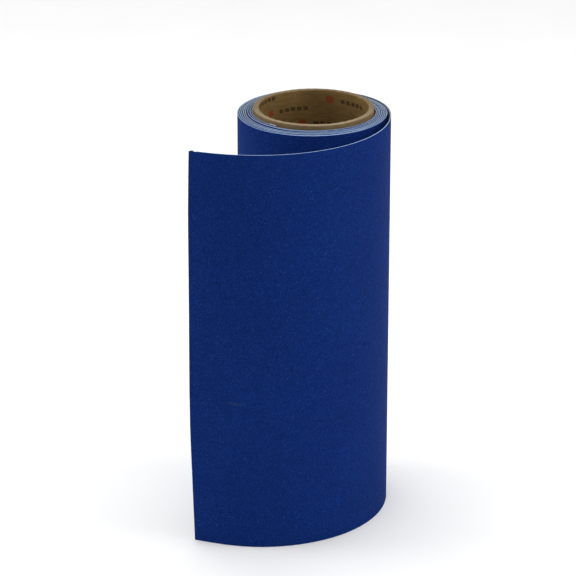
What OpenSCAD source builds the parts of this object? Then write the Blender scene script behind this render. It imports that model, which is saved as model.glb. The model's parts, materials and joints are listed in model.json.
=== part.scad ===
// Roll of grit-coated anti-slip tape on a spiral-wound paperboard core, standing on its end.
// The core's bore axis is Z and the roll stands on the plane z = 0. The web is wound clockwise
// outwards seen from above, grit side out. It starts on the core at the front left. Its outer lap
// comes loose at the right (+X), passes in front of the roll (-Y) and ends at the left.

/* [Core] */
// Bore diameter of the core
bore_d = 77; // [70:0.5:90]
// Length of the core
core_len = 295; // [293:1:310]
// Thickness of one paperboard ply
ply_t = 0.8; // [0.6:0.05:1]

/* [Web] */
// Width of the web, which is the height of the standing roll
web_w = 292; // [150:1:292]
// Thickness of the silicone-coated paper liner
liner_t = 0.13; // [0.1:0.01:0.14]
// Thickness of the adhesive coat
adhesive_t = 0.09; // [0.08:0.01:0.1]
// Thickness of the plastic carrier film
film_t = 0.2; // [0.15:0.01:0.21]
// Thickness of the mineral grit coat
grit_t = 0.28; // [0.2:0.01:0.29]

/* [Wound pack] */
// Full laps in the pack
laps = 7; // [4:1:7]
// Turn of the part lap before them, from the web's start on the core to the back of the roll
start_turn = 160; // [120:4:172]
// Air gap between the tight laps at the back of the roll
back_gap = 0.02; // [0.02:0.01:0.05]
// Full laps that stay near the core at the front
inner_laps = 2; // [1:1:3]
// Air gap between the core and the first full lap at the front
first_gap = 1.4; // [1.2:0.1:2.6]
// Air gap between the laps near the core at the front
inner_gap = 0.9; // [0.6:0.1:1]
// Air gap between the other laps at the front
outer_gap = 1; // [0.6:0.05:1]
// Build of the loose pack at the front, from the core to the outer face
front_build = 13.5; // [13.5:0.1:14.8]
// Turn of the loosest side of the pack from the front (-Y) towards the left (-X)
slack_turn = 18.4; // [5:0.1:20]

/* [Loose outer lap] */
// Distance from the core's outer face to the point where the outer lap leaves the roll
leave_build = 10.85; // [10.6:0.05:12]
// Angle of the lap's direction from straight ahead (-Y) where it leaves
leave_lean = 4.9; // [3:0.1:6]
// Length of the loose lap, from where it leaves to its free end
tail_len = 196.8; // [150:0.1:210]
// Radius of the loose lap's curl where it leaves the roll
curl_r_start = 87.3; // [80:0.1:95]
// Radius of the loose lap's curl at its free end
curl_r_end = 154; // [120:1:200]
// How late the curl opens out: a higher power keeps it even for longer
curl_power = 3.5; // [1:0.1:5]
// Length of the free-end panel
free_end_len = 42; // [30:1:50]
// Length of tape on the free-end panel that stays on its liner; the rest can be peeled
bonded_len = 6; // [4:0.5:8]

/* [Hidden] */
$fn = 180;

// Colours
kraft = [0.52, 0.42, 0.28];
kraft_edge = [0.66, 0.58, 0.46];
strip_white = [0.85, 0.84, 0.80];
liner_white = [0.80, 0.84, 0.90];
adhesive_clear = [0.72, 0.74, 0.76];
film_blue = [0.42, 0.50, 0.68];
grit_blue = [0.07, 0.16, 0.42];

// Core
ply_gap = 0.02;
bore_r = bore_d / 2;
plies = 5;
core_r = bore_r + plies * ply_t;

// Start strip under the web's inner end. Its upper end stands a little above the web.
strip_t = 0.1;
strip_clear = 0.05;
strip_w = 5;
strip_from_z = 5;
strip_rise = 0.4;

// Web layers, each given as [inner face, outer face] in distance from the web's inner face
bond_gap = 0.01;
liner_span = [0, liner_t];
adhesive_span = [liner_span[1] + bond_gap, liner_span[1] + bond_gap + adhesive_t];
film_span = [adhesive_span[1] + bond_gap, adhesive_span[1] + bond_gap + film_t];
grit_span = [film_span[1] + bond_gap, film_span[1] + bond_gap + grit_t];
web_t = grit_span[1];

// Pack: a part lap round the core, then a spiral of half-turn arcs whose joins lie on the seam
// line, so the arcs run on smoothly. The radii are to the web's inner face, from the core's axis,
// at the back and front of the seam.
seam_angle = 90 - slack_turn;
start_angle = seam_angle + start_turn;
back_first = core_r + strip_t + 2 * strip_clear;
front_first = core_r + first_gap;
front_last = core_r + front_build - web_t;
function back_r(k) = back_first + k * (web_t + back_gap);
function front_r(k) = k < inner_laps
    ? front_first + k * (web_t + inner_gap)
    : front_last - (laps - 1 - k) * (web_t + outer_gap);

// Loose lap: the points and directions are those of its outer, grit face
bend_panels = 7;
tabs = 3;
panel_len = (tail_len - free_end_len) / bend_panels;
tab_len = (free_end_len - bonded_len) / tabs;
hinge_gap = 0.2;
tab_hinge_gap = 0.24;
tail_start = [core_r + leave_build, 0];
tail_heading = leave_lean - 90;

function unit(a) = [cos(a), sin(a)];
function degrees(length, r) = length / r * 180 / PI;
function panel_start(i) = i * panel_len;
function length_of(i) = i < bend_panels ? panel_len : free_end_len;
function curl_at(s) = 1 / curl_r_start
    + (1 / curl_r_end - 1 / curl_r_start) * pow(s / tail_len, curl_power);
function panel_r(i) = 1 / curl_at(panel_start(i) + length_of(i) / 2);
function panel_turn(i) = degrees(length_of(i), panel_r(i));
function heading(i) = i == 0 ? tail_heading : heading(i - 1) - panel_turn(i - 1);
function centre(i) = hinge_point(i) + panel_r(i) * unit(heading(i) - 90);
function hinge_point(i) = i == 0 ? tail_start : centre(i - 1) + panel_r(i - 1) * unit(heading(i) + 90);

// Departing lap: two arcs of equal tangent length join the pack's back to the loose lap's start
back_point = (back_r(laps) + web_t) * unit(seam_angle);
back_heading = seam_angle - 90;
chord = tail_start - back_point;
end_dirs = unit(back_heading) + unit(tail_heading);
dirs_dot = unit(back_heading) * unit(tail_heading);
quad_a = 2 * (1 - dirs_dot);
quad_b = 2 * (chord * end_dirs);
tangent_len = (sqrt(quad_b * quad_b + 4 * quad_a * (chord * chord)) - quad_b) / (2 * quad_a);
join_point = (back_point + tangent_len * unit(back_heading)
    + tail_start - tangent_len * unit(tail_heading)) / 2;

// Half the turn of an arc that leaves a point in one direction and ends at another point
function half_turn(from, dir, to) = dir - atan2(to[1] - from[1], to[0] - from[0]);
function arc_r(from, dir, to) = norm(to - from) / 2 / sin(half_turn(from, dir, to));

// An arc of the web, clockwise: [centre, outer-face radius, first angle, sweep]
function arc_between(from, dir, to) = [
    from + arc_r(from, dir, to) * unit(dir - 90), arc_r(from, dir, to), dir + 90,
    2 * half_turn(from, dir, to)];
function half_lap(from_r, to_r, side_angle) = [
    (from_r - to_r) / 2 * unit(side_angle), (from_r + to_r) / 2 + web_t, side_angle, 180];

// The wound pack's whole path, from its start on the core to the loose lap's first hinge
join_heading = back_heading - 2 * half_turn(back_point, back_heading, join_point);
path_end = tail_start - hinge_gap / 2 * unit(tail_heading);
pack_path = concat(
    [[[0, 0], back_first + web_t, start_angle, start_turn]],
    [for (k = [0:laps - 1]) each [
        half_lap(back_r(k), front_r(k), seam_angle),
        half_lap(front_r(k), back_r(k + 1), seam_angle + 180)]],
    [arc_between(back_point, back_heading, join_point),
     arc_between(join_point, join_heading, path_end)]);

// Points along a path at a distance in from the web's outer face
facet_angle = 4;
function steps(arc) = ceil(arc[3] / facet_angle);
function arc_point(arc, inset, part) = arc[0] + (arc[1] - inset) * unit(arc[2] - part * arc[3]);
function path_points(path, inset) = concat(
    [for (arc = path) for (j = [0:steps(arc) - 1]) arc_point(arc, inset, j / steps(arc))],
    [arc_point(path[len(path) - 1], inset, 1)]);
function reversed(list) = [for (i = [len(list) - 1:-1:0]) list[i]];

module pack_layer(span) {
    linear_extrude(web_w)
        polygon(concat(path_points(pack_path, web_t - span[1]),
                       reversed(path_points(pack_path, web_t - span[0]))));
}

// A curved wall of the web's width: layer span, outer-face radius, first angle and clockwise sweep
module web_arc(span, face_r, from_angle, sweep) {
    rotate([0, 0, from_angle - sweep])
        rotate_extrude(angle = sweep)
            translate([face_r - web_t + span[0], 0])
                square([span[1] - span[0], web_w]);
}

// One layer of a stretch of panel i, between two distances along the panel
module panel_layer(i, span, from_s, to_s) {
    r = panel_r(i);
    translate(concat(centre(i), [0]))
        web_arc(span, r, heading(i) + 90 - degrees(from_s, r), degrees(to_s - from_s, r));
}

module lap_layer(i, span) {
    panel_layer(i - 1, span, hinge_gap / 2, panel_len - hinge_gap / 2);
}

module bonded_layer(span) {
    panel_layer(bend_panels, span, hinge_gap / 2, bonded_len - tab_hinge_gap / 2);
}

module tab_layer(i, span) {
    from_s = bonded_len + (i - 1) * tab_len;
    end_gap = i == tabs ? 0 : tab_hinge_gap / 2;
    panel_layer(bend_panels, span, from_s + tab_hinge_gap / 2, from_s + tab_len - end_gap);
}

module ply(i) {
    rotate_extrude()
        translate([bore_r + (i - 1) * ply_t, 0])
            square([ply_t - (i == plies ? 0 : ply_gap), core_len]);
}

module core_inner_ply() { color(kraft) ply(1); }
module core_ply_2() { color(kraft_edge) ply(2); }
module core_ply_3() { color(kraft_edge) ply(3); }
module core_ply_4() { color(kraft_edge) ply(4); }
module core_outer_ply() { color(kraft) ply(5); }

module start_strip() {
    sweep = degrees(strip_w, core_r);
    color(strip_white)
        translate([0, 0, strip_from_z])
            rotate([0, 0, start_angle - sweep])
                rotate_extrude(angle = sweep)
                    translate([core_r + strip_clear, 0])
                        square([strip_t, web_w + strip_rise - strip_from_z]);
}

module pack_liner() { color(liner_white) pack_layer(liner_span); }
module pack_adhesive() { color(adhesive_clear) pack_layer(adhesive_span); }
module pack_film() { color(film_blue) pack_layer(film_span); }
module pack_grit() { color(grit_blue) pack_layer(grit_span); }

module lap_liner(i) { color(liner_white) lap_layer(i, liner_span); }
module lap_adhesive(i) { color(adhesive_clear) lap_layer(i, adhesive_span); }
module lap_film(i) { color(film_blue) lap_layer(i, film_span); }
module lap_grit(i) { color(grit_blue) lap_layer(i, grit_span); }

module free_end_liner() {
    color(liner_white) panel_layer(bend_panels, liner_span, hinge_gap / 2, free_end_len);
}

module free_end_adhesive() { color(adhesive_clear) bonded_layer(adhesive_span); }
module free_end_film() { color(film_blue) bonded_layer(film_span); }
module free_end_grit() { color(grit_blue) bonded_layer(grit_span); }

module tab_adhesive(i) { color(adhesive_clear) tab_layer(i, adhesive_span); }
module tab_film(i) { color(film_blue) tab_layer(i, film_span); }
module tab_grit(i) { color(grit_blue) tab_layer(i, grit_span); }

core_inner_ply();
core_ply_2();
core_ply_3();
core_ply_4();
core_outer_ply();
start_strip();
pack_liner();
pack_adhesive();
pack_film();
pack_grit();
lap_liner(1);  // lap_1_liner
lap_adhesive(1);  // lap_1_adhesive
lap_film(1);  // lap_1_film
lap_grit(1);  // lap_1_grit
lap_liner(2);  // lap_2_liner
lap_adhesive(2);  // lap_2_adhesive
lap_film(2);  // lap_2_film
lap_grit(2);  // lap_2_grit
lap_liner(3);  // lap_3_liner
lap_adhesive(3);  // lap_3_adhesive
lap_film(3);  // lap_3_film
lap_grit(3);  // lap_3_grit
lap_liner(4);  // lap_4_liner
lap_adhesive(4);  // lap_4_adhesive
lap_film(4);  // lap_4_film
lap_grit(4);  // lap_4_grit
lap_liner(5);  // lap_5_liner
lap_adhesive(5);  // lap_5_adhesive
lap_film(5);  // lap_5_film
lap_grit(5);  // lap_5_grit
lap_liner(6);  // lap_6_liner
lap_adhesive(6);  // lap_6_adhesive
lap_film(6);  // lap_6_film
lap_grit(6);  // lap_6_grit
lap_liner(7);  // lap_7_liner
lap_adhesive(7);  // lap_7_adhesive
lap_film(7);  // lap_7_film
lap_grit(7);  // lap_7_grit
free_end_liner();
free_end_adhesive();
free_end_film();
free_end_grit();
tab_adhesive(1);  // tab_1_adhesive
tab_film(1);  // tab_1_film
tab_grit(1);  // tab_1_grit
tab_adhesive(2);  // tab_2_adhesive
tab_film(2);  // tab_2_film
tab_grit(2);  // tab_2_grit
tab_adhesive(3);  // tab_3_adhesive
tab_film(3);  // tab_3_film
tab_grit(3);  // tab_3_grit
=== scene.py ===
"""Looks for a standing roll of blue grit tape: the wound web, its loose outer lap and its core.

All lengths are in metres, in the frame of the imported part: the core's axis is Z, the roll stands
on z = 0 and the loose lap passes in front of it, on the -Y side. Distance s runs along the web,
clockwise seen from above: 0 at the loose lap's first hinge, negative back into the pack.
"""
import json
import math

import bpy
import numpy as np
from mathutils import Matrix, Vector


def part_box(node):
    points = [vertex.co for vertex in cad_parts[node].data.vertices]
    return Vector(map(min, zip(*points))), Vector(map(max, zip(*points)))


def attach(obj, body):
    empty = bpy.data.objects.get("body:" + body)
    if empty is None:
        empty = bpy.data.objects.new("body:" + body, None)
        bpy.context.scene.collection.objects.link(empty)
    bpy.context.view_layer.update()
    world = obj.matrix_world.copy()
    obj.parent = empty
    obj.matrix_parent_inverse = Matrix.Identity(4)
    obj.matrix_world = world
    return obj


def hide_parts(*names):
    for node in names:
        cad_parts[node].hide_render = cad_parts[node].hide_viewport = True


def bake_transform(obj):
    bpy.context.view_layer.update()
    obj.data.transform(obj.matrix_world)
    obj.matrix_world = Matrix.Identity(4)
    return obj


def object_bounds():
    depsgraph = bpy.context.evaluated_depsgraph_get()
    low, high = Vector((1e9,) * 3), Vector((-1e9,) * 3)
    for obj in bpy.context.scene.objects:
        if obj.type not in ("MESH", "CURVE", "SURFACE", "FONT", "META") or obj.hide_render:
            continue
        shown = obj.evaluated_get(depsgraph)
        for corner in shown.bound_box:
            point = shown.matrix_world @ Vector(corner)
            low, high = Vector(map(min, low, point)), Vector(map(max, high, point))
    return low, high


MM = 0.001
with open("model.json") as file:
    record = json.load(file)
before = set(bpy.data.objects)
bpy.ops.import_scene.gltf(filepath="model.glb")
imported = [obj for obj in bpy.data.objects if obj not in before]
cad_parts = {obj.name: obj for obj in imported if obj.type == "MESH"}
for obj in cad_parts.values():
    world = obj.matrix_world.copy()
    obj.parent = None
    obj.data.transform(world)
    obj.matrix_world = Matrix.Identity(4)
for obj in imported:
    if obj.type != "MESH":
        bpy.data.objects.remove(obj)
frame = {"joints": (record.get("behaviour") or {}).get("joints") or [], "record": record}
cad_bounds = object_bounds()
record = frame["record"]
hinges = {j["name"]: np.array(j["pos_m"][:2]) for j in frame["joints"]}

# ---------------------------------------------------------------- sizes

BORE_R = record["mounts"][0]["dims"]["r_mm"] * MM
CORE_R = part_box("core_outer_ply")[1].x
CORE_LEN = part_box("core_outer_ply")[1].z
WEB_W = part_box("pack_grit")[1].z

# Web build, measured outwards from its inner face
LINER_T = 0.13 * MM
WEB_T = 0.73 * MM
TAPE_IN = 0.16 * MM

# Winding, by the same rule as the CAD source
LAPS = 7
START_TURN = math.radians(160)
BACK_GAP = 0.02 * MM
START_GAP = 0.2 * MM
INNER_LAPS = 2
FIRST_GAP = 1.4 * MM
INNER_GAP = 0.9 * MM
OUTER_GAP = 1.0 * MM
FRONT_BUILD = 13.5 * MM
SEAM = math.radians(90 - 18.4)

# The loose lap: its direction at its first hinge, its hinged panels and the tabs that peel off them
LEAVE_HEADING = math.radians(4.9 - 90)
PANELS = 8
TABS = 3

# The tissue strip that fixes the web's inner end to the core
STRIP_W = 5 * MM
STRIP_T = 0.1 * MM
STRIP_CLEAR = 0.05 * MM

# The core's board: the glue line between plies and the lean of their helical winding
GLUE_LINE = 0.02 * MM
WIND_ANGLE = math.radians(52)

# Column spacing of the sheets
TAIL_STEP = 0.8 * MM
PACK_STEP = 1.6 * MM


# ---------------------------------------------------------------- path of the web's middle surface

def unit(angle):
    """The level direction at an angle from +X."""
    return np.array([math.cos(angle), math.sin(angle)])


def half_lap(from_r, to_r, side):
    """A half-turn arc about a centre on the seam line: centre, radius, first angle, sweep."""
    return (from_r - to_r) / 2 * unit(side), (from_r + to_r) / 2, side, math.pi


def arc_between(start, heading, end):
    """The clockwise arc that leaves start in one direction and ends at end."""
    chord = end - start
    half_turn = heading - math.atan2(chord[1], chord[0])
    half_turn = (half_turn + math.pi) % (2 * math.pi) - math.pi
    radius = np.hypot(*chord) / 2 / math.sin(half_turn)
    centre = start + radius * unit(heading - math.pi / 2)
    return centre, radius, heading + math.pi / 2, 2 * half_turn


def departing_arcs(start, heading, end, end_heading):
    """Two arcs of equal tangent length from the pack's back to the loose lap's first hinge."""
    chord = end - start
    a = 2 * (1 - unit(heading) @ unit(end_heading))
    b = 2 * chord @ (unit(heading) + unit(end_heading))
    tangent = (math.sqrt(b * b + 4 * a * (chord @ chord)) - b) / (2 * a)
    join = (start + tangent * unit(heading) + end - tangent * unit(end_heading)) / 2
    first = arc_between(start, heading, join)
    return [first, arc_between(join, heading - first[3], end)]


def tail_arcs(points, heading):
    """One arc from each hinge to the next, every arc tangent to the one before."""
    arcs = []
    for start, end in zip(points, points[1:]):
        arcs.append(arc_between(start, heading, end))
        heading -= arcs[-1][3]
    return arcs


def web_arcs():
    """The arcs of the pack and those of the loose lap."""
    middle = WEB_T / 2
    back = [CORE_R + START_GAP + k * (WEB_T + BACK_GAP) + middle for k in range(LAPS + 1)]
    first = CORE_R + FIRST_GAP + middle
    last = CORE_R + FRONT_BUILD - middle
    front = [first + k * (WEB_T + INNER_GAP) for k in range(INNER_LAPS)]
    front += [last - (LAPS - 1 - k) * (WEB_T + OUTER_GAP) for k in range(INNER_LAPS, LAPS)]
    arcs = [(np.zeros(2), back[0], SEAM + START_TURN, START_TURN)]
    for k in range(LAPS):
        arcs.append(half_lap(back[k], front[k], SEAM))
        arcs.append(half_lap(front[k], back[k + 1], SEAM + math.pi))
    points = [hinges[f"tail_curl_{i}"] for i in range(1, PANELS + 1)]
    tab_low, tab_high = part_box("tab_3_grit")
    liner_low, liner_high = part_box("free_end_liner")
    points.append(np.array([tab_low.x + liner_low.x, tab_high.y + liner_high.y]) / 2)
    arcs += departing_arcs(back[LAPS] * unit(SEAM), SEAM - math.pi / 2, points[0], LEAVE_HEADING)
    return arcs, tail_arcs(points, LEAVE_HEADING)


class Path:
    """Positions and outward directions along a chain of clockwise arcs.

    The arcs of the pack come first, the last two of them leading to the loose lap.
    """

    def __init__(self, pack, tail):
        arcs = pack + tail
        lengths = np.array([arc[1] * arc[3] for arc in arcs])
        self.knots = np.concatenate([[0], np.cumsum(lengths)]) - lengths[:len(pack)].sum()
        self.start = self.knots[0]
        self.end = self.knots[-1]
        self.hinge_s = self.knots[len(pack):]
        self.centre = np.array([arc[0] for arc in arcs])
        self.radius = np.array([arc[1] for arc in arcs])
        self.first = np.array([arc[2] for arc in arcs])

    def at(self, s):
        """(points, outward normals, angle turned since the web's start) at distances s."""
        s = np.asarray(s, float)
        i = np.clip(np.searchsorted(self.knots, s, side="right") - 1, 0, len(self.radius) - 1)
        turn = (s - self.knots[i]) / self.radius[i]
        angle = self.first[i] - turn
        out = np.stack([np.cos(angle), np.sin(angle)], -1)
        turned = np.concatenate([[0], np.cumsum(np.diff(self.knots) / self.radius)])[i] + turn
        return self.centre[i] + self.radius[i][..., None] * out, out, turned


path = Path(*web_arcs())
TAIL_LEN = path.end
LEAVE_ARCS = 2
LEAVE_LEN = -path.knots[-len(path.hinge_s) - LEAVE_ARCS]


# ---------------------------------------------------------------- small shape variations

def smooth(t):
    """A soft step from 0 to 1."""
    t = np.clip(t, 0, 1)
    return t * t * (3 - 2 * t)


def ripple(a, b, seed):
    """Smooth, repeatable unevenness between -1 and 1 over two coordinates in radians."""
    rng = np.random.default_rng(seed)
    total = 0
    for _ in range(5):
        fa, fb = rng.uniform(0.6, 2.2, 2)
        pa, pb = rng.uniform(0, 2 * math.pi, 2)
        total = total + np.sin(a * fa + pa) * np.sin(b * fb + pb)
    return total / 2.5


def near(phase, middle, width):
    """1 at one phase of a lap, fading out on both sides."""
    return np.exp(-((phase - middle) / width) ** 2)


# Outward shifts from the even spacing at the roll's left side, in mm: the part lap, then the full laps
LEFT_SHIFT = np.array([0.28, 0.70, 0.95, 0.40, 0.33, 0.24, 0.10, 0])


def lap_spacing(turned, lap, in_pack):
    """How far the laps stand out from their even spacing at the roll's left and right sides."""
    whole = np.clip(np.floor(lap), -1, LAPS - 1).astype(int)
    phase = lap - whole
    at_left = np.sin(turned) ** 2 * (np.sin(turned) < 0) * (lap < LAPS)
    at_right = near(phase, 0.165, 0.085) * whole / (LAPS - 1)
    off_core = 0.5 * near(phase, 0.22, 0.1) * (whole < INNER_LAPS)
    return (LEFT_SHIFT[whole + 1] * at_left + (at_right + off_core) * in_pack) * MM


def lap_drift(s, z):
    """How far the web stands out from its ideal path, in metres."""
    turned = path.at(s)[2] - START_TURN
    lap = turned / (2 * math.pi)
    in_pack = (lap > 0) & (lap < LAPS)
    spacing = lap_spacing(turned, lap, in_pack)
    inner = smooth((2.4 - lap) / 1.4)
    loose = smooth((1 - np.cos(turned)) / 2 * 1.4 - 0.4) * smooth((LAPS - lap) / 0.5) * in_pack
    slack = (0.07 + 0.15 * inner) * MM * loose * ripple(turned * 5, z / (35 * MM), 3)
    leaving = 0.7 * MM * np.sin(math.pi * np.clip(-s / LEAVE_LEN, 0, 1)) ** 2
    leaving = leaving + 0.3 * MM * smooth(1 + s / LEAVE_LEN) * smooth(1 - s / (80 * MM))
    sway = 0.30 * MM * smooth(s / (120 * MM)) * ripple(s / (45 * MM), z / (75 * MM), 11)
    return spacing + slack + leaving + sway - corner_curl(s, z)


def corner_curl(s, z):
    """The free end's corners curl in towards the roll, the bottom one more."""
    near_end = smooth((s - (TAIL_LEN - 70 * MM)) / (70 * MM)) ** 2
    bottom = smooth(1 - z / (95 * MM))
    top = smooth(1 - (WEB_W - z) / (60 * MM))
    return near_end * (2.6 * MM * bottom + 0.8 * MM * top)


# The hand-cut free end: how far it runs past a straight cut, in mm, at shares of the web's width
CUT_AT = (0, 0.04, 0.10, 0.18, 0.30, 0.40, 0.60, 0.85, 0.94, 1)
CUT_PAST = (0.90, 1.20, 1.50, 1.70, 2.20, 2.35, 2.05, 1.95, 1.60, 1.15)


def end_bow(s, z):
    """How far the free end's last stretch reaches past a straight cut."""
    near_end = smooth((s - (TAIL_LEN - 14 * MM)) / (14 * MM))
    return near_end * np.interp(z / WEB_W, CUT_AT, CUT_PAST) * MM


def edge_rise(s, z):
    """Uneven slit edges: laps that sit a little high or low, with a finely ragged cut."""
    share = z / WEB_W * 2 - 1
    edge = np.abs(share) ** 8 * np.sign(share)
    ragged = 0.035 * MM * ripple(s / (0.6 * MM), 0.7, 7)
    in_pack = smooth(-s / (60 * MM))
    lap_step = 0.22 * MM * ripple(s / (22 * MM), 0.3, 5)
    near_end = smooth((s - (TAIL_LEN - 7 * MM)) / (4 * MM))
    nick = 0.4 * MM * near_end * ripple(s / (1.1 * MM), 0.2, 23)
    return edge * ragged + (lap_step * in_pack + nick) * smooth((share - 0.96) / 0.04)


# ---------------------------------------------------------------- mesh building

def rows_between(low, high, edge_rows, middle_step):
    """Row heights, packed closely at both ends."""
    edge = np.array(edge_rows)
    count = max(2, round((high - low - 2 * edge[-1]) / middle_step))
    middle = np.linspace(low + edge[-1], high - edge[-1], count + 1)
    return np.concatenate([low + edge[:-1], middle, (high - edge[:-1])[::-1]])


def grid_faces(index, flip=False):
    """The quads of a grid of vertex numbers."""
    quads = np.stack([index[:-1, :-1], index[1:, :-1], index[1:, 1:], index[:-1, 1:]], -1)
    quads = quads.reshape(-1, 4)
    return quads[:, ::-1] if flip else quads


def mesh_object(name, vertices, parts, materials, sharp_angle=50):
    """A mesh from vertex positions and parts: each part is (quads, their corners' UVs, material)."""
    quads = np.concatenate([p[0] for p in parts])
    uvs = np.concatenate([p[1].reshape(-1, 2) for p in parts])
    slots = np.concatenate([np.full(len(p[0]), p[2]) for p in parts])
    mesh = bpy.data.meshes.new(name)
    mesh.from_pydata(vertices.tolist(), [], quads.tolist())
    for material in materials:
        mesh.materials.append(material)
    mesh.polygons.foreach_set("material_index", slots.astype(np.int32))
    mesh.uv_layers.new(name="UVMap").data.foreach_set("uv", uvs.astype(np.float32).ravel())
    mesh.shade_smooth()
    mesh.set_sharp_from_angle(angle=math.radians(sharp_angle))
    mesh.validate()
    obj = bpy.data.objects.new(name, mesh)
    bpy.context.scene.collection.objects.link(obj)
    return obj


def sheet(name, s_values, z_values, inset_in, inset_out, materials, grain=0.0):
    """A closed sheet of web between two distances out from the web's inner face.

    The grain roughens its outer face, but not its ends, so that neighbouring sheets meet.
    """
    s, z = np.meshgrid(s_values, z_values, indexing="ij")
    reach = s + end_bow(s, z)
    point, out, _ = path.at(reach)
    drift = lap_drift(s, z)
    rng = np.random.default_rng(17)
    layers = []
    for inset, rough in ((inset_out, grain), (inset_in, 0.0)):
        distance = drift + inset - WEB_T / 2
        if rough:
            off_ends = np.ones_like(s)
            off_ends[[0, -1]] = 0
            distance = distance + rough * rng.uniform(-1, 0.3, s.shape) * off_ends
        xy = point + out * distance[..., None]
        layers.append(np.concatenate([xy, (z + edge_rise(s, z))[..., None]], -1))
    return closed_sheet(name, layers, s_values, z_values, materials)


def closed_sheet(name, layers, s_values, z_values, materials):
    """A closed solid between an outer and an inner grid of points, with UVs in metres."""
    s, z = np.meshgrid(s_values, z_values, indexing="ij")
    n, m = s.shape
    vertices = np.concatenate([layer.reshape(-1, 3) for layer in layers])
    outer = np.arange(n * m).reshape(n, m)
    inner = outer + n * m
    face_uv = np.tile(np.stack([s, z], -1).reshape(-1, 2), (2, 1))
    parts = []
    for index, flip, slot in ((outer, True, 0), (inner, False, 1)):
        quads = grid_faces(index, flip)
        parts.append((quads, face_uv[quads], slot))
    borders = (
        (outer[:, -1], inner[:, -1], s_values, True),
        (outer[:, 0], inner[:, 0], s_values, False),
        (outer[0], inner[0], z_values, True),
        (outer[-1], inner[-1], z_values, False))
    for line_out, line_in, distance, flip in borders:
        index = np.stack([line_out, line_in], -1)
        quads = grid_faces(index, flip)
        uv = np.zeros((len(vertices), 2))
        uv[line_out] = np.stack([distance, np.ones_like(distance)], -1)
        uv[line_in] = np.stack([distance, np.zeros_like(distance)], -1)
        parts.append((quads, uv[quads], 2))
    return mesh_object(name, vertices, parts, materials)


# ---------------------------------------------------------------- materials

class Nodes:
    """A small helper for building a node material around one Principled BSDF."""

    def __init__(self, name):
        self.material = bpy.data.materials.new(name)
        self.material.use_nodes = True
        self.tree = self.material.node_tree
        self.shader = self.tree.nodes["Principled BSDF"]

    def add(self, kind, **settings):
        """A new node, with each setting put in the input of that name or else in the property."""
        node = self.tree.nodes.new(kind)
        for key, value in settings.items():
            if key in node.inputs:
                node.inputs[key].default_value = value
            else:
                setattr(node, key, value)
        return node

    def link(self, source, target):
        self.tree.links.new(source, target)

    def uv(self, scale=(1, 1, 1), turn=0.0):
        """UV in metres, scaled, as a vector output."""
        source = self.add("ShaderNodeUVMap", uv_map="UVMap")
        mapping = self.add("ShaderNodeMapping")
        mapping.inputs["Scale"].default_value = scale
        mapping.inputs["Rotation"].default_value = (0, 0, turn)
        self.link(source.outputs[0], mapping.inputs[0])
        return mapping.outputs[0]

    def split(self, vector):
        """The X, Y and Z outputs of a vector."""
        node = self.add("ShaderNodeSeparateXYZ")
        self.link(vector, node.inputs[0])
        return node.outputs

    def voronoi(self, scale, vector):
        """The outputs of a cell pattern."""
        node = self.add("ShaderNodeTexVoronoi", Scale=scale, feature="F1")
        self.link(vector, node.inputs["Vector"])
        return node.outputs

    def noise(self, scale, vector, detail=3.0, roughness=0.5):
        """A cloudy value between 0 and 1."""
        node = self.add("ShaderNodeTexNoise", Scale=scale, Detail=detail, Roughness=roughness)
        self.link(vector, node.inputs["Vector"])
        return node.outputs["Fac"]

    def ramp(self, value, stops):
        """A colour that follows a value through (position, colour) stops."""
        node = self.add("ShaderNodeValToRGB")
        elements = node.color_ramp.elements
        while len(elements) < len(stops):
            elements.new(0.5)
        for element, (position, color) in zip(elements, stops):
            element.position = position
            element.color = (*color, 1)
        self.link(value, node.inputs[0])
        return node.outputs["Color"]

    def math(self, operation, a, b=None, clamp=False):
        """One step of arithmetic on numbers or outputs."""
        node = self.add("ShaderNodeMath", operation=operation, use_clamp=clamp)
        for socket, value in zip(node.inputs, (a, b)):
            if value is None:
                continue
            if isinstance(value, (int, float)):
                socket.default_value = value
            else:
                self.link(value, socket)
        return node.outputs[0]

    def mix(self, factor, a, b, mode="MIX"):
        """Colour a blended into colour b by a factor."""
        node = self.add("ShaderNodeMix", data_type="RGBA", blend_type=mode)
        for socket, value in ((node.inputs[0], factor), (node.inputs[6], a), (node.inputs[7], b)):
            if isinstance(value, (int, float)):
                socket.default_value = value
            elif isinstance(value, tuple):
                socket.default_value = (*value, 1)
            else:
                self.link(value, socket)
        return node.outputs[2]

    def tint(self, color, by):
        """One colour multiplied by another."""
        return self.mix(1.0, color, by, "MULTIPLY")

    def bump(self, height, distance, strength, after=None):
        """A normal roughened by a height, on top of an earlier one if given."""
        node = self.add("ShaderNodeBump", Distance=distance, Strength=strength)
        self.link(height, node.inputs["Height"])
        if after is not None:
            self.link(after, node.inputs["Normal"])
        return node.outputs[0]

    def finish(self, color, roughness, normal=None, specular=0.5):
        """The finished material."""
        for key, value in (("Base Color", color), ("Roughness", roughness), ("Normal", normal)):
            if value is None:
                continue
            if isinstance(value, float):
                self.shader.inputs[key].default_value = value
            else:
                self.link(value, self.shader.inputs[key])
        self.shader.inputs["Specular IOR Level"].default_value = specular
        return self.material


def srgb(red, green, blue):
    """A linear colour from 0-255 display values."""
    channels = []
    for value in (red, green, blue):
        value /= 255
        channels.append(value / 12.92 if value <= 0.04045 else ((value + 0.055) / 1.055) ** 2.4)
    return tuple(channels)


def grey(level):
    """A neutral linear colour."""
    return (level, level, level)


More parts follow.
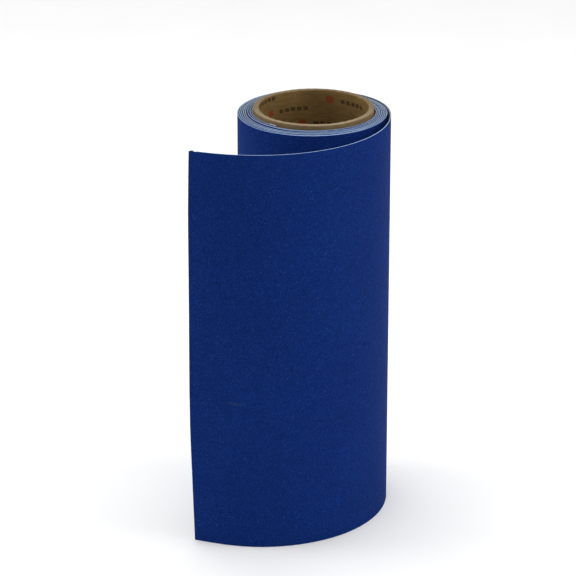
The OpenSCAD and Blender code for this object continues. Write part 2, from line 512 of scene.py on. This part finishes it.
def scuff_mask(n, uv):
    """A faint rubbed mark on the loose lap, near its free end."""
    from_end = 31 * MM
    height = 109.8 * MM
    slope = 0.14
    half_length = 8.5 * MM
    half_width = 1.3 * MM
    s, z, _ = n.split(uv)
    along = n.math("SUBTRACT", s, TAIL_LEN - from_end)
    level = n.math("ADD", n.math("MULTIPLY", along, slope), height)
    across = n.math("SUBTRACT", z, level)
    long_part = n.math("POWER", n.math("DIVIDE", along, half_length), 2.0)
    wide_part = n.math("POWER", n.math("DIVIDE", across, half_width), 2.0)
    body = n.math("SUBTRACT", 1.0, n.math("ADD", long_part, wide_part), clamp=True)
    streaks = n.noise(500.0, n.uv((0.4, 1, 1)), 3.0)
    return n.math("MULTIPLY", body, n.ramp(streaks, [(0.35, grey(0.2)), (0.6, grey(0.45))]))


def grit_material():
    """Blue mineral grit: sub-millimetre grains with paler tips, under slow mottling."""
    n = Nodes("blue_grit")
    uv = n.uv()
    grains = n.voronoi(2100.0, uv)
    grain_tone = n.ramp(grains["Color"], [
        (0.0, srgb(6, 28, 80)), (0.45, srgb(11, 38, 101)), (0.8, srgb(14, 47, 114)),
        (1.0, srgb(28, 67, 136))])
    specks = n.voronoi(700.0, uv)
    rare = n.ramp(specks["Color"], [(0.88, grey(0)), (0.97, grey(1))])
    tip = n.ramp(specks["Distance"], [(0.18, grey(1)), (0.42, grey(0))])
    speck_mask = n.math("MULTIPLY", rare, tip)
    cloud = n.noise(160.0, uv, 4.0, 0.6)
    mottle = n.ramp(cloud, [(0.3, (0.92, 0.92, 0.93)), (0.7, (1.08, 1.08, 1.07))])
    drift = n.ramp(n.noise(14.0, uv, 2.0), [(0.3, (0.94, 0.94, 0.95)), (0.7, (1.05, 1.05, 1.04))])
    color = n.tint(n.tint(grain_tone, mottle), drift)
    color = n.mix(n.math("MULTIPLY", speck_mask, 0.4), color, srgb(64, 106, 172))
    color = n.mix(scuff_mask(n, uv), color, srgb(46, 68, 96))
    height = n.math("SUBTRACT", 1.0, grains["Distance"])
    normal = n.bump(height, 0.16 * MM, 0.55)
    normal = n.bump(n.noise(420.0, uv, 3.0), 0.25 * MM, 0.35, normal)
    return n.finish(color, 0.8, normal, specular=0.04)


def backward(n):
    """0 at the front of the core, 1 at its back."""
    place = n.add("ShaderNodeTexCoord")
    y = n.split(place.outputs["Object"])["Y"]
    return n.math("ADD", n.math("DIVIDE", y, 2 * CORE_R), 0.5)


def painted_light_and_shade(n):
    """Painted light and shade on the slit edges: brighter at the front of the roll, greyer towards its
    back.
    """
    return n.ramp(backward(n), [
        (0.0, (1.22, 1.3, 1.34)), (0.1, (1.0, 1.03, 1.06)), (0.35, (0.86, 0.86, 0.82)),
        (1.0, (0.68, 0.64, 0.57))])


def cut_edge_material():
    """The web's slit edge: adhesive, pale film and cut grit, from inside to outside."""
    n = Nodes("tape_cut_edge")
    uv = n.uv()
    across = n.split(uv)["Y"]
    waver = n.noise(1500.0, n.uv((1, 0, 1)), 2.0)
    jitter = n.math("MULTIPLY", n.math("SUBTRACT", waver, 0.5), 0.35)
    layers = n.ramp(n.math("ADD", across, jitter), [
        (0.0, srgb(150, 164, 182)), (0.14, srgb(158, 178, 206)), (0.55, srgb(140, 166, 208)),
        (0.70, srgb(84, 114, 172)), (0.92, srgb(30, 62, 126))])
    fray = n.ramp(n.noise(900.0, uv, 4.0, 0.7), [(0.35, (0.8, 0.82, 0.86)), (0.65, (1.08, 1.08, 1.06))])
    normal = n.bump(n.noise(1800.0, uv), 0.08 * MM, 0.5)
    # Painted light and shade: the slit edges are brightened at the front of the roll and darkened
    # towards its back.
    color = n.tint(n.tint(layers, fray), painted_light_and_shade(n))
    return n.finish(color, 0.7, normal, specular=0.1)


def adhesive_material():
    """Peeled adhesive face: clear, tacky and faintly orange-peeled over the pale film."""
    n = Nodes("adhesive_face")
    uv = n.uv()
    cloud = n.noise(60.0, uv, 5.0, 0.6)
    color = n.ramp(cloud, [(0.3, srgb(150, 166, 200)), (0.7, srgb(172, 186, 214))])
    normal = n.bump(n.noise(260.0, uv, 2.0), 0.2 * MM, 0.4)
    return n.finish(color, 0.22, normal, specular=0.6)


def liner_material(name, tone, roughness, gap_shade_tone=1.0):
    """Coated release paper: faint fibres under a satin coat, with painted shade darkening it where it
    is still wound.
    """
    n = Nodes(name)
    uv = n.uv()
    fibres = n.noise(900.0, n.uv((0.35, 1.0, 1.0)), 5.0, 0.7)
    low, high = [tuple(c * k for c in srgb(*tone)) for k in (0.93, 1.03)]
    color = n.ramp(fibres, [(0.3, low), (0.7, high)])
    # Painted shade: the paper is darkened where it is still wound in the pack, fading out along the
    # web.
    fade_from, fade_len = -40 * MM, 90 * MM
    past_fade = n.math("SUBTRACT", n.split(uv)["X"], fade_from)
    shade_faded = n.math("DIVIDE", past_fade, fade_len, clamp=True)
    color = n.tint(color, n.ramp(shade_faded, [(0.0, grey(gap_shade_tone)), (1.0, grey(1))]))
    normal = n.bump(n.noise(55.0, uv, 3.0), 0.5 * MM, 0.25)
    normal = n.bump(fibres, 0.03 * MM, 0.5, normal)
    return n.finish(color, roughness, normal, specular=0.45)


def board_nodes(name, dark, light):
    """Kraft board: long pulp fibres, darker flecks and soft cloudiness."""
    n = Nodes(name)
    fibres = n.noise(520.0, n.uv((0.22, 1.0, 1.0)), 6.0, 0.7)
    clouds = n.ramp(n.noise(45.0, n.uv(), 3.0), [(0.3, grey(0.9)), (0.7, grey(1.07))])
    flecks = n.voronoi(330.0, n.uv((0.4, 1.0, 1.0)))
    rare = n.ramp(flecks["Color"], [(0.8, grey(0)), (0.95, grey(1))])
    spot = n.ramp(flecks["Distance"], [(0.1, grey(1)), (0.3, grey(0))])
    fleck_mask = n.math("MULTIPLY", n.math("MULTIPLY", rare, spot), 0.5)
    color = n.tint(n.ramp(fibres, [(0.28, srgb(*dark)), (0.72, srgb(*light))]), clouds)
    color = n.mix(fleck_mask, color, tuple(c * 0.55 for c in srgb(*dark)))
    return n, color, n.bump(fibres, 0.12 * MM, 0.6)


def finish_board(n, color, normal):
    """Dry, matt board."""
    return n.finish(color, 0.85, normal, specular=0.12)


def bore_material():
    """Kraft bore liner with a plain printed pattern: a dot and five dashes in slanting rows."""
    n, color, normal = board_nodes("bore_kraft", (104, 82, 47), (136, 109, 66))
    row_turn = math.radians(7.9)
    row_pitch = 14.7 * MM
    mark_pitch = 46.7 * MM
    row_offset = 24.7 * MM
    first_along, first_up = -10.8 * MM, 289.2 * MM

    # Position within one mark: a along the row, b up from it
    along, up, _ = n.split(n.uv((1, 1, 1), row_turn))
    rows_up = n.math("DIVIDE", n.math("SUBTRACT", up, first_up), row_pitch)
    row = n.math("ROUND", rows_up)
    b = n.math("MULTIPLY", n.math("SUBTRACT", rows_up, row), row_pitch)
    shift = n.math("ADD", n.math("MULTIPLY", row, row_offset), first_along)
    marks_along = n.math("DIVIDE", n.math("SUBTRACT", along, shift), mark_pitch)
    past_mark = n.math("SUBTRACT", marks_along, n.math("ROUND", marks_along))
    a = n.math("MULTIPLY", past_mark, mark_pitch)

    # Dashes, each standing level although the row slants
    dash_count = 5
    dash_pitch = 4.7 * MM
    dash_share = 0.72
    dash_height = 2.8 * MM
    in_word = n.math("LESS_THAN", n.math("ABSOLUTE", a), dash_count / 2 * dash_pitch)
    phase = n.math("FRACT", n.math("ADD", n.math("DIVIDE", a, dash_pitch), 0.5))
    off_dash = n.math("ABSOLUTE", n.math("SUBTRACT", phase, 0.5))
    in_dash = n.math("LESS_THAN", off_dash, dash_share / 2)
    off_level = n.math("SUBTRACT", b, n.math("MULTIPLY", a, math.sin(row_turn)))
    in_line = n.math("LESS_THAN", n.math("ABSOLUTE", off_level), dash_height / 2)
    dashes = n.math("MULTIPLY", n.math("MULTIPLY", in_word, in_dash), in_line)

    # The dot before them, left out close to the core's end
    dot_along, dot_up = 19.3 * MM, 3.2 * MM
    dot_radius = 2.9 * MM
    end_margin = 3.3 * MM
    square_a = n.math("POWER", n.math("SUBTRACT", a, dot_along), 2.0)
    square_b = n.math("POWER", n.math("SUBTRACT", b, dot_up), 2.0)
    in_dot = n.math("LESS_THAN", n.math("SQRT", n.math("ADD", square_a, square_b)), dot_radius)
    off_end = n.math("LESS_THAN", n.split(n.uv())["Y"], CORE_LEN - end_margin)
    dot = n.math("MULTIPLY", in_dot, off_end)

    worn = n.ramp(n.noise(700.0, n.uv(), 3.0), [(0.3, grey(0.35)), (0.6, grey(0.9))])
    color = n.mix(n.math("MULTIPLY", dashes, worn), color, srgb(46, 36, 20))
    color = n.mix(n.math("MULTIPLY", dot, worn), color, srgb(138, 54, 26))
    return finish_board(n, color, normal)


def rim_material():
    """The cut ends of the plies: paler raw board, with painted shade making it duller towards the back
    of the roll.
    """
    n, color, normal = board_nodes("core_rim_board", (132, 114, 86), (160, 141, 112))
    # Painted shade: the rim is darkened from the front of the roll towards its back.
    painted_back_shade = n.ramp(backward(n), [
        (0.1, (0.9, 0.88, 0.86)), (0.5, (0.47, 0.45, 0.42)), (1.0, (0.34, 0.31, 0.27))])
    return finish_board(n, n.tint(color, painted_back_shade), normal)


def strip_material():
    """White tissue."""
    n = Nodes("strip_tissue")
    fibres = n.noise(900.0, n.uv(), 4.0)
    color = n.ramp(fibres, [(0.3, srgb(205, 202, 190)), (0.7, srgb(226, 224, 214))])
    return n.finish(color, 0.5, n.bump(fibres, 0.03 * MM, 0.5))


def floor_material():
    """A near-white studio sweep with the faintest cloudiness."""
    n = Nodes("studio_floor")
    source = n.add("ShaderNodeTexCoord")
    grain = n.noise(9.0, source.outputs["Object"], 2.0)
    color = n.ramp(grain, [(0.3, grey(0.94)), (0.7, grey(0.96))])
    return n.finish(color, 0.9, None, specular=0.1)


grit = grit_material()
cut_edge = cut_edge_material()
adhesive = adhesive_material()
silicone = liner_material("liner_silicone", (222, 228, 238), 0.32)
# The wound paper back gets painted shade, down to a tenth of its tone.
liner_back = liner_material("liner_paper", (226, 228, 230), 0.5, 0.1)
liner_edge = liner_material("liner_edge", (172, 180, 194), 0.8)
TAPE = [grit, adhesive, cut_edge]
LINER = [silicone, liner_back, liner_edge]


# ---------------------------------------------------------------- web pieces

def columns(s_from, s_to, step):
    """Even distances along the web, about one step apart."""
    return np.linspace(s_from, s_to, max(2, round((s_to - s_from) / step)) + 1)


TAIL_ROWS = rows_between(0, WEB_W, np.array([0, 0.5, 1.2]) * MM, 2 * MM)
PACK_ROWS = rows_between(0, WEB_W, np.array([0, 0.6, 1.6, 3.5, 7, 12]) * MM, 9 * MM)


def tape_piece(name, s_from, s_to, step, rows, nodes):
    """A stretch of the tape: its adhesive, film and grit."""
    obj = sheet(name, columns(s_from, s_to, step), rows, TAPE_IN, WEB_T, TAPE, 0.02 * MM)
    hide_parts(*nodes)
    return obj


def liner_piece(name, s_from, s_to, step, rows, nodes):
    """A stretch of the release liner."""
    obj = sheet(name, columns(s_from, s_to, step), rows, 0.0, LINER_T, LINER)
    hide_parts(*nodes)
    return obj


def tape_nodes(body):
    """The parts of the frame that a stretch of tape stands for."""
    return [f"{body}_{layer}" for layer in ("adhesive", "film", "grit")]


def bend(obj):
    """Bakes a piece's placement into its mesh."""
    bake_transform(obj)


# Pieces meet halfway between hinges, so that each spans one hinge
hinge_s = path.hinge_s
half_panel = (hinge_s[1] - hinge_s[0]) / 2
last_hinge = hinge_s[PANELS - 1]
peel_off = [hinges[f"tape_peel_{i + 1}"] - hinges[f"tail_curl_{PANELS}"] for i in range(TABS)]
peel_s = [last_hinge + np.hypot(*off) for off in peel_off]
half_tab = (peel_s[1] - peel_s[0]) / 2
bond_middle = (last_hinge + peel_s[0]) / 2


def wound_pieces():
    """The pack, up to halfway before the loose lap's first hinge."""
    tape = tape_piece("wound_tape", path.start, -half_panel, PACK_STEP, PACK_ROWS, tape_nodes("pack"))
    liner = liner_piece("wound_liner", path.start, -half_panel, PACK_STEP, PACK_ROWS, ["pack_liner"])
    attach(tape, "roll")
    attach(liner, "roll")


def loose_pieces():
    """The loose lap's tape and liner, a piece for each hinge."""
    chain = ["roll"] + [f"lap_{i}" for i in range(1, PANELS)] + ["free_end"]
    ends = [h + half_panel for h in hinge_s[:PANELS - 1]]
    s_from = [-half_panel] + ends
    tape_to = ends + [bond_middle]
    liner_to = ends + [TAIL_LEN]
    for i, (before, body) in enumerate(zip(chain, chain[1:])):
        tape = tape_piece(f"lap_tape_{i + 1}", s_from[i], tape_to[i], TAIL_STEP, TAIL_ROWS,
                          tape_nodes(body))
        liner = liner_piece(f"lap_liner_{i + 1}", s_from[i], liner_to[i], TAIL_STEP, TAIL_ROWS,
                            [f"{body}_liner"])
        bend(tape)
        bend(liner)


def peeling_pieces():
    """The free end's tape past its bond, a piece for each tab."""
    chain = ["free_end"] + [f"tab_{i + 1}" for i in range(TABS)]
    limits = [bond_middle] + [s + half_tab for s in peel_s[:TABS - 1]] + [TAIL_LEN]
    for i, (before, body) in enumerate(zip(chain, chain[1:])):
        s_from, s_to = limits[i], limits[i + 1]
        tape = tape_piece(f"peel_tape_{i + 1}", s_from, s_to, TAIL_STEP, TAIL_ROWS,
                          tape_nodes(body))
        bend(tape)


wound_pieces()
loose_pieces()
peeling_pieces()


# ---------------------------------------------------------------- core

def helical_groove(a, z, r_in):
    """Depth of the butt joint that runs up a ply's face between the turns of its winding."""
    depth = 0.22 * MM
    half_width = 0.7 * MM
    first_turn = 0.35
    lead = 2 * math.pi * r_in * math.tan(WIND_ANGLE)
    turns = z / lead - a / (2 * math.pi) + first_turn
    off_joint = np.abs(turns % 1 - 0.5) * lead * math.cos(WIND_ANGLE)
    return depth * np.exp(-(off_joint / half_width) ** 2)


def ply(name, r_in, r_out, top, seed, materials, open_face=""):
    """One paperboard ply: a tube with softened, slightly ragged ends.

    A ply whose "inner" or "outer" face is open to view has that face's joint and worn edges.
    """
    worn = 0.4 * MM
    crisp = 0.12 * MM
    row_step = 1.6 * MM if open_face else 24 * MM
    rows = rows_between(0, top, np.array([0, 0.04, 0.15, 0.4, 1.5, 3]) * MM, row_step)
    half = len(rows)
    angle = np.linspace(2 * math.pi, 0, 288, endpoint=False)

    # The profile runs up the inner face and back down the outer one
    profile_r = np.repeat([r_in, r_out], half)
    profile_z = np.concatenate([rows, rows[::-1]])
    into_board = np.repeat([1.0, -1.0], half)
    is_open = np.repeat([open_face == "inner", open_face == "outer"], half)
    edge_r = np.where(is_open, worn, crisp)
    near_end = np.clip(1 - np.minimum(profile_z, top - profile_z) / edge_r, 0, 1)
    profile_r = profile_r + into_board * edge_r * (1 - np.sqrt(1 - near_end ** 2))
    a, r = np.meshgrid(angle, profile_r, indexing="ij")
    z = np.tile(profile_z, (len(angle), 1))
    if open_face:
        r = r + into_board * helical_groove(a, z, r_in) * is_open
    ragged = ripple(a * 24, 0.4, seed) * 0.10 * MM + ripple(a * 3, 0.9, seed + 1) * 0.08 * MM
    z = z + ragged * smooth((z - top + 1.5 * MM) / (1.5 * MM))
    vertices = np.stack([r * np.cos(a), r * np.sin(a), z], -1).reshape(-1, 3)

    # Closed round by repeating the first column
    index = np.arange(a.size).reshape(a.shape)
    index = np.concatenate([index, index[:1]])
    z = np.concatenate([z, z[:1]])
    round_inner = np.append(angle, 0)[:, None] * r_in
    parts = []
    for slot, wall in enumerate((slice(0, half), slice(half, None))):
        along = np.repeat(round_inner, half, 1)
        parts.append((grid_faces(index[:, wall]), grid_uv(along, z[:, wall]), slot))
    for ring in ([half - 1, half], [2 * half - 1, 0]):
        along = np.repeat(round_inner, 2, 1)
        across = np.tile(profile_r[ring], (len(index), 1))
        parts.append((grid_faces(index[:, ring]), grid_uv(along, across), 2))
    return mesh_object(name, vertices, parts, materials, 60)


def grid_uv(u, v):
    """UVs of a grid's quads, in the same corner order as grid_faces."""
    uv = np.stack([u, v], -1)
    quads = np.stack([uv[:-1, :-1], uv[1:, :-1], uv[1:, 1:], uv[:-1, 1:]], -2)
    return quads.reshape(-1, 4, 2)


def core():
    """The five plies, from the printed bore to the kraft wrap."""
    bore = bore_material()
    wrap = finish_board(*board_nodes("core_wrap_kraft", (108, 90, 62), (138, 118, 86)))
    rim = rim_material()
    body = finish_board(*board_nodes("core_body_board", (150, 134, 108), (180, 164, 138)))
    names = ["core_inner_ply", "core_ply_2", "core_ply_3", "core_ply_4", "core_outer_ply"]
    drops = np.array([0.0, 0.06, 0.03, 0.09, 0.02]) * MM
    last = len(names) - 1
    ply_t = (CORE_R - BORE_R) / len(names)
    for i, node in enumerate(names):
        r_in = BORE_R + i * ply_t
        r_out = r_in + ply_t - (GLUE_LINE if i < last else 0)
        materials = [bore if i == 0 else body, wrap if i == last else body, rim]
        open_face = {0: "inner", last: "outer"}.get(i, "")
        top = CORE_LEN - drops[i]
        obj = ply(f"board_{node[5:]}", r_in, r_out, top, 40 + i, materials, open_face)
        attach(obj, "roll")
        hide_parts(node)


def start_strip():
    """The tissue strip under the web's inner end, torn off a little above the web."""
    low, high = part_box("start_strip")
    across = np.linspace(0, STRIP_W, 17)
    s = path.start + across
    hidden = np.linspace(low.z, WEB_W - 2 * MM, 60)
    shown = np.linspace(WEB_W - 1 * MM, high.z, 4)
    z = np.concatenate([hidden, shown])
    angle = SEAM + START_TURN - across / CORE_R
    a, rise = np.meshgrid(angle, z, indexing="ij")
    torn = MM * (0.1 + 0.2 * ripple(a * 900, 0.4, 61)) * smooth((rise - WEB_W) / (0.3 * MM))
    layers = []
    for off_core in (STRIP_CLEAR + STRIP_T, STRIP_CLEAR):
        radius = CORE_R + off_core
        layers.append(np.stack([radius * np.cos(a), radius * np.sin(a), rise + torn], -1))
    obj = closed_sheet("start_tissue", layers, s, z, [strip_material()] * 3)
    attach(obj, "roll")
    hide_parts("start_strip")


core()
start_strip()


# ---------------------------------------------------------------- studio

def floor():
    """A wide white floor, just under the roll."""
    size = 12.0
    level = -0.2 * MM
    mesh = bpy.data.meshes.new("studio_floor")
    corners = [(x * size, y * size, level) for x, y in ((-1, -1), (1, -1), (1, 1), (-1, 1))]
    mesh.from_pydata(corners, [], [(0, 1, 2, 3)])
    mesh.materials.append(floor_material())
    obj = bpy.data.objects.new("studio_floor", mesh)
    bpy.context.scene.collection.objects.link(obj)


def area_light(name, location, target, size, power):
    """A soft rectangular lamp that faces its target."""
    data = bpy.data.lights.new(name, "AREA")
    data.shape = "RECTANGLE"
    data.size, data.size_y = size
    data.energy = power
    obj = bpy.data.objects.new(name, data)
    obj.location = location
    obj.rotation_euler = (Vector(target) - Vector(location)).to_track_quat("-Z", "Y").to_euler()
    bpy.context.scene.collection.objects.link(obj)


def studio():
    """An even white world with a lamp on each side and one overhead."""
    floor()
    world = bpy.data.worlds.new("studio_world")
    bpy.context.scene.world = world
    world.use_nodes = True
    background = world.node_tree.nodes["Background"]
    background.inputs["Color"].default_value = (1, 1, 1, 1)
    background.inputs["Strength"].default_value = 0.62
    middle = (0, 0, WEB_W / 2)
    area_light("key_right", (1.6, -0.3, 1.0), middle, (0.9, 1.2), 10.5)
    area_light("fill_left", (-1.7, 0.1, 0.9), middle, (0.9, 1.2), 10)
    area_light("top", (0.0, 0.2, 2.2), middle, (1.6, 1.6), 22)
    view = bpy.context.scene.view_settings
    view.view_transform = "Standard"
    view.look = "None"


def camera():
    """A long lens, looking along +Y and down."""
    pitch = math.radians(21.52)
    distance = 2.1243
    aim_off_centre = Vector((-2.7 * MM, 0, 20.5 * MM))
    low, high = (Vector(corner) for corner in cad_bounds)
    aim = (low + high) / 2 + aim_off_centre
    forward = Vector((0, math.cos(pitch), -math.sin(pitch)))
    data = bpy.data.cameras.new("camera")
    data.lens = 187.5
    data.sensor_width = 36
    data.clip_end = 50
    obj = bpy.data.objects.new("camera", data)
    obj.location = aim - distance * forward
    obj.rotation_euler = forward.to_track_quat("-Z", "Y").to_euler()
    bpy.context.scene.collection.objects.link(obj)
    bpy.context.scene.camera = obj


studio()
camera()
